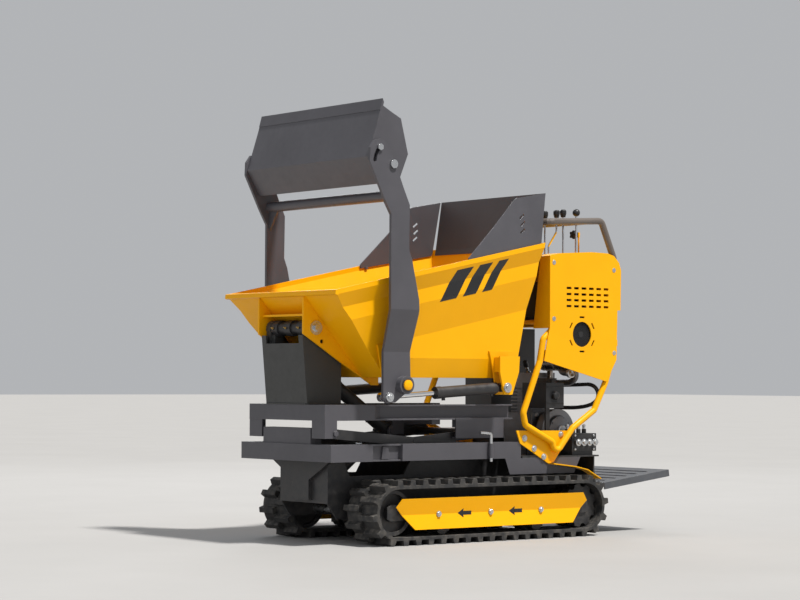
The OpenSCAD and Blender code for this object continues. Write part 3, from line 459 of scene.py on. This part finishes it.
# ---------------------------------------------------------------- hinge of the skip: collars, nipples, washers
for k, x in enumerate((-0.081, 0.0, 0.081)):
    lathe(f"grease_nipple_{k}",
          [(0.0045, 0.0), (0.0045, 0.002), (0.0028, 0.0025), (0.0028, 0.006), (0.0019, 0.007),
           (0.0024, 0.0085), (0.0016, 0.0105)],
          row(x, -0.632, 0.799), (0, -1, 0.25), "upper_deck", BRASS, 20)
for side, s in SIDES:
    lathe(f"arm_hub_cap_{side}", [(0.0165, 0.0), (0.0165, 0.0006), (0.012, 0.0022), (0.006, 0.0030)],
          row(s * 0.392, -0.358, 0.590), (s, 0, 0), "skip", YELLOW, 40)
    lathe(f"arm_hub_ring_{side}", [(0.0205, 0.0), (0.0240, 0.0), (0.0240, 0.0012), (0.0215, 0.0020)],
          row(s * 0.3852, -0.358, 0.590), (s, 0, 0), "loader_arms", DARK, 40)
    # washers behind the cylinder pins
    lathe(f"foot_washer_{side}", [(0.012, 0.0), (0.0165, 0.0), (0.0165, 0.0012), (0.0150, 0.0018)],
          row(s * 0.3590, 0.154, 0.581), (s, 0, 0), "skip", ZINC, 36)

# ---------------------------------------------------------------- cowl: woven screen behind the intake, washers
INTAKE_Y, INTAKE_Z, INTAKE_R = 0.575, 0.791, 0.052
WIRES, WIRE_HALF = 11, 0.0007
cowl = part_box("cowl_left")[1][0]
for side, s in SIDES:
    body = "chassis"
    verts, faces = [], []
    for k in range(-WIRES, WIRES + 1):
        u = k * INTAKE_R / (WIRES + 0.5)
        h = math.sqrt(max(0.0, INTAKE_R * INTAKE_R - u * u))
        for a, b in (((u, -h), (u, h)), ((-h, u), (h, u))):
            dy, dz = (WIRE_HALF, 0.0) if a[0] == b[0] else (0.0, WIRE_HALF)
            i = len(verts)
            for p, sg in ((a, 1), (b, 1), (b, -1), (a, -1)):
                verts.append(row(s * (cowl - 0.0062), INTAKE_Y + p[0] + sg * dy, INTAKE_Z + p[1] + sg * dz))
            faces.append((i, i + 1, i + 2, i + 3))
    piece(f"intake_screen_{side}", verts, faces, body, PLASTIC)
    # a near-black disc behind the screen: painted shade inside the intake
    lathe(f"intake_shade_disc_{side}", [(0.008, 0.0), (0.078, 0.0), (0.078, 0.001), (0.008, 0.001)],
          row(s * (cowl - 0.0110), INTAKE_Y, INTAKE_Z), (s, 0, 0), body, SHADOW, 48)
    lathe(f"intake_hub_{side}", [(0.013, 0.0), (0.013, 0.0030), (0.010, 0.0040)],
          row(s * (cowl - 0.0100), INTAKE_Y, INTAKE_Z), (s, 0, 0), body, PLASTIC, 32)
    for k, (y, z) in enumerate(((0.425, 1.070), (0.748, 1.050), (0.425, 0.850), (0.750, 0.720))):
        lathe(f"cowl_washer_{side}_{k}", [(0.006, 0.0), (0.0092, 0.0), (0.0092, 0.0010), (0.0080, 0.0014)],
              row(s * cowl, y, z), (s, 0, 0), body, ZINC, 28)

# ---------------------------------------------------------------- engine bay
MUFFLER_Y, MUFFLER_Z = 0.575, 0.690
RECOIL_Y, RECOIL_Z = 0.590, 0.410
lathe("recoil_cover", [(0.058, 0.0), (0.0595, 0.006), (0.0560, 0.012), (0.040, 0.017), (0.020, 0.019)],
      row(0.1655, RECOIL_Y, RECOIL_Z), (1, 0, 0), "chassis", ALLOY, 48, 0.02, 12)
# near-black plugs in the recoil cover's vents: painted shade inside the openings
for k in range(10):
    a = math.radians(36 * k)
    p = row(0.174, RECOIL_Y + 0.046 * math.cos(a), RECOIL_Z + 0.046 * math.sin(a))
    lathe(f"recoil_vent_shade_{k}", [(0.0075, 0.0), (0.0075, 0.0045), (0.006, 0.0052)], p, (1, 0, 0), "chassis",
          SHADOW, 16)
lathe("recoil_boss", [(0.020, 0.0), (0.020, 0.010), (0.016, 0.013)], row(0.181, RECOIL_Y, RECOIL_Z), (1, 0, 0),
      "chassis", ZINC, 32)
for k, (y, z) in enumerate(((0.655, 0.470), (0.525, 0.470), (0.655, 0.350), (0.525, 0.350))):
    hexbolt(f"crankcase_bolt_{k}", row(0.110, y, z), (1, 0, 0), "chassis", 0.012, 0.006)
tube("exhaust_elbow", [row(0.105, 0.640, 0.600), row(0.180, 0.650, 0.600), row(0.215, 0.645, 0.630),
     row(0.220, 0.610, 0.680), row(0.220, 0.585, 0.695)], 0.013, "chassis", ALLOY, 24, 3)
tube("muffler_tail", [row(0.200, 0.575, 0.660), row(0.215, 0.566, 0.642), row(0.262, 0.565, 0.639)], 0.0145,
     "chassis", ALLOY, 24, 3)
lathe("tail_ring",
      [(0.0125, 0.0), (0.0185, 0.0), (0.0200, 0.0015), (0.0200, 0.0120), (0.0185, 0.0135), (0.0140, 0.0135),
       (0.0130, 0.0110), (0.0125, 0.0060)],
      row(0.258, 0.565, 0.639), (1, 0, 0), "chassis", ZINC, 40)
tube("breather_pipe", [row(0.090, 0.640, 0.590), row(0.170, 0.690, 0.592), row(0.250, 0.700, 0.596),
     row(0.272, 0.714, 0.560), row(0.268, 0.700, 0.520), row(0.200, 0.680, 0.500), row(0.090, 0.640, 0.500)],
     0.0080, "chassis", PLASTIC, 18, 3)
for k, x in enumerate((0.120, 0.185, 0.250)):
    lathe(f"muffler_band_{k}", [(0.0422, -0.004), (0.0436, -0.003), (0.0436, 0.003), (0.0422, 0.004)],
          row(x, MUFFLER_Y, MUFFLER_Z), (1, 0, 0), "chassis", STEEL, 48)
# thin near-black discs on the muffler stand for its holes: painted shade inside them
for k in range(9):
    for m in range(3):
        a = math.radians(-50 + 40 * m)
        c = row(0.125 + 0.016 * k, MUFFLER_Y - 0.0425 * math.cos(a), MUFFLER_Z + 0.0425 * math.sin(a))
        lathe(f"heat_hole_shade_{k}_{m}", [(0.0042, 0.0), (0.0042, 0.0006)], c,
              (0, -math.cos(a), math.sin(a)), "chassis", SHADOW, 14)
lathe("spark_plug", [(0.010, 0.0), (0.010, 0.008), (0.006, 0.010), (0.006, 0.026), (0.004, 0.030)],
      row(0.020, 0.560, 0.640), (0.2, -0.5, 0.8), "chassis", ZINC, 20)
lathe("plug_cap", [(0.009, 0.0), (0.011, 0.010), (0.009, 0.026), (0.004, 0.030)],
      row(0.025, 0.545, 0.664), (0.2, -0.5, 0.8), "chassis", PLASTIC, 24)
lathe("filter_knob", [(0.014, 0.0), (0.017, 0.006), (0.015, 0.014), (0.008, 0.017)],
      row(0.270, 0.475, 0.550), (1, 0, 0), "chassis", PLASTIC, 30, 0.08, 6)
for k, z in enumerate((0.520, 0.580)):
    slab(f"air_box_rib_{k}", [row(0.2702, 0.434, z), row(0.2702, 0.520, z), row(0.2702, 0.520, z + 0.006),
         row(0.2702, 0.434, z + 0.006)], 0.002, "chassis", PLASTIC, 0.0006)
# fittings on the valve block
for k, y in enumerate((0.580, 0.610, 0.640, 0.670)):
    hexbolt(f"valve_port_{k}", row(0.296, y, 0.365), (1, 0, 0), "chassis", 0.017, 0.009)
    lathe(f"valve_elbow_{k}",
          [(0.0060, 0.0), (0.0060, 0.010), (0.0072, 0.011), (0.0072, 0.016), (0.005, 0.018)],
          row(0.230, y, 0.416), (0, 0, 1), "chassis", ZINC, 24)
    lathe(f"spool_cap_{k}", [(0.0095, 0.0), (0.0095, 0.007), (0.008, 0.0085)], row(0.180, y, 0.365), (-1, 0, 0),
          "chassis", BRASS if k % 2 else ZINC, 24)
for k, y in enumerate((0.575, 0.675)):
    for m, z in enumerate((0.338, 0.392)):
        hexbolt(f"valve_bolt_{k}_{m}", row(0.280, y, z), (1, 0, 0), "chassis", 0.009, 0.004, False)
# caps of the tanks
for name, x, y, z, r in (("hydraulic_cap", -0.210, 0.560, 0.845, 0.031), ("fuel_cap", 0.060, 0.690, 1.018, 0.036)):
    lathe(name, [(r * 0.98, -0.012), (r * 1.04, -0.010), (r * 1.04, 0.002), (r * 0.9, 0.006)],
          row(x, y, z), (0, 0, 1), "chassis", PLASTIC, 48, 0.03, 16)

# ---------------------------------------------------------------- gusset washers, skirt bolts, welds
for side, s in SIDES:
    for k, (y, z) in enumerate(((0.300, 0.385), (0.350, 0.345), (0.400, 0.312), (0.490, 0.398))):
        lathe(f"gusset_washer_{side}_{k}", [(0.0080, 0.0), (0.0125, 0.0), (0.0125, 0.0012), (0.0110, 0.0018)],
              row(s * 0.2905, y, z), (s, 0, 0), "chassis", ZINC, 30)
for k, x in enumerate((-0.230, -0.080, 0.080, 0.230)):
    hexbolt(f"skirt_bolt_{k}", row(x, 0.700, 0.286), (0, 1, 0), "chassis", 0.014, 0.007)

# weld beads where plates meet
# the tower's weld beads take its darker grey, which carries painted shade
for side, s in SIDES:
    weld(f"weld_tower_{side}", row(s * 0.1302, -0.624, 0.5185), row(s * 0.1302, -0.472, 0.5185),
         "upper_deck", TOWER_SHADED_GREY)
    weld(f"weld_gusset_{side}", row(s * 0.1462, -0.480, 0.6720), row(s * 0.1462, -0.338, 0.5900), "skip", YELLOW)
weld("weld_tower_front", row(-0.126, -0.6255, 0.5185), row(0.126, -0.6255, 0.5185), "upper_deck", TOWER_SHADED_GREY)

# ---------------------------------------------------------------- levers: rings under the knobs
for name in ("throttle", "arm", "tip", "drive_left", "drive_right", "lift"):
    body = "lever_" + name
    low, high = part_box(body)
    # the left drive lever is bent, so its rod isn't in the middle of its box
    x = 0.142 if name == "drive_left" else 0.5 * (low[0] + high[0])
    lathe(f"knob_ring_{name}", [(0.0062, 0.0), (0.0085, 0.0), (0.0085, 0.004), (0.0070, 0.006)],
          Vector((x, row(0, 0.600, 0).y, high[2] - 0.048)), (0, 0, 1), body, PLASTIC, 28)

# ---------------------------------------------------------------- floor, light, camera
floor_mat = bpy.data.materials.new("pale_floor")
floor_mat.use_nodes = True
ft = floor_mat.node_tree
fp = ft.nodes["Principled BSDF"]
fobj = ft.nodes.new("ShaderNodeTexCoord").outputs["Object"]
link(ft, mix(ft, remap(ft, noise(ft, fobj, 1.3, 6.0, 0.62), 0.30, 0.70), (0.35, 0.345, 0.34), (0.37, 0.365, 0.36)),
     fp.inputs["Base Color"])
fp.inputs["Roughness"].default_value = 0.85
fb = ft.nodes.new("ShaderNodeBump")
fb.inputs["Strength"].default_value = 0.25
fb.inputs["Distance"].default_value = 0.001
link(ft, noise(ft, fobj, 160.0, 4.0), fb.inputs["Height"])
link(ft, fb.outputs[0], fp.inputs["Normal"])
me = bpy.data.meshes.new("floor")
me.from_pydata([(-60, -60, 0), (60, -60, 0), (60, 60, 0), (-60, 60, 0)], [], [(0, 1, 2, 3)])
me.materials.append(floor_mat)
floor = bpy.data.objects.new("floor", me)
scene.collection.objects.link(floor)

world = bpy.data.worlds.new("studio")
scene.world = world
world.use_nodes = True
bg = world.node_tree.nodes["Background"]
bg.inputs["Color"].default_value = (0.86, 0.88, 0.91, 1.0)
bg.inputs["Strength"].default_value = 0.52


def area(name, place, aim, size, watts, tint):
    """A soft round lamp that faces a point."""
    lamp = bpy.data.lights.new(name, "AREA")
    lamp.shape = "DISK"
    lamp.size = size
    lamp.energy = watts
    lamp.color = tint
    ob = bpy.data.objects.new(name, lamp)
    scene.collection.objects.link(ob)
    ob.location = place
    ob.rotation_euler = (Vector(aim) - Vector(place)).to_track_quat("-Z", "Y").to_euler()


sun = bpy.data.lights.new("key", "SUN")
sun.energy = 4.9
sun.angle = math.radians(5.0)
sun.color = (1.0, 0.975, 0.93)
sun_ob = bpy.data.objects.new("key", sun)
scene.collection.objects.link(sun_ob)
sun_ob.rotation_euler = Vector((0.44, 0.14, 0.88)).to_track_quat("Z", "Y").to_euler()
area("fill", (2.5, -6.5, 3.5), (0.0, 0.0, 0.7), 5.0, 45, (0.92, 0.96, 1.0))
area("rim", (-5.0, 3.0, 4.5), (0.0, 0.0, 0.8), 2.0, 70, (0.95, 0.97, 1.0))

# the camera stands low at the machine's front left and looks up a little, as in the photograph
right = Vector((0.62264, 0.78249, 0.0050)).normalized()
back = Vector((0.78214, -0.62214, -0.03465)).normalized()
up = back.cross(right).normalized()
right = up.cross(back).normalized()
cam = bpy.data.cameras.new("camera")
cam.lens = 101.25
cam.sensor_width = 36.0
cam.clip_end = 200.0
cam_ob = bpy.data.objects.new("camera", cam)
scene.collection.objects.link(cam_ob)
place = row(6.81531, -5.50991, 0.61553)
cam_ob.matrix_world = Matrix(((right.x, up.x, back.x, place.x), (right.y, up.y, back.y, place.y),
                              (right.z, up.z, back.z, place.z), (0, 0, 0, 1)))
scene.camera = cam_ob
scene.view_settings.view_transform = "Standard"
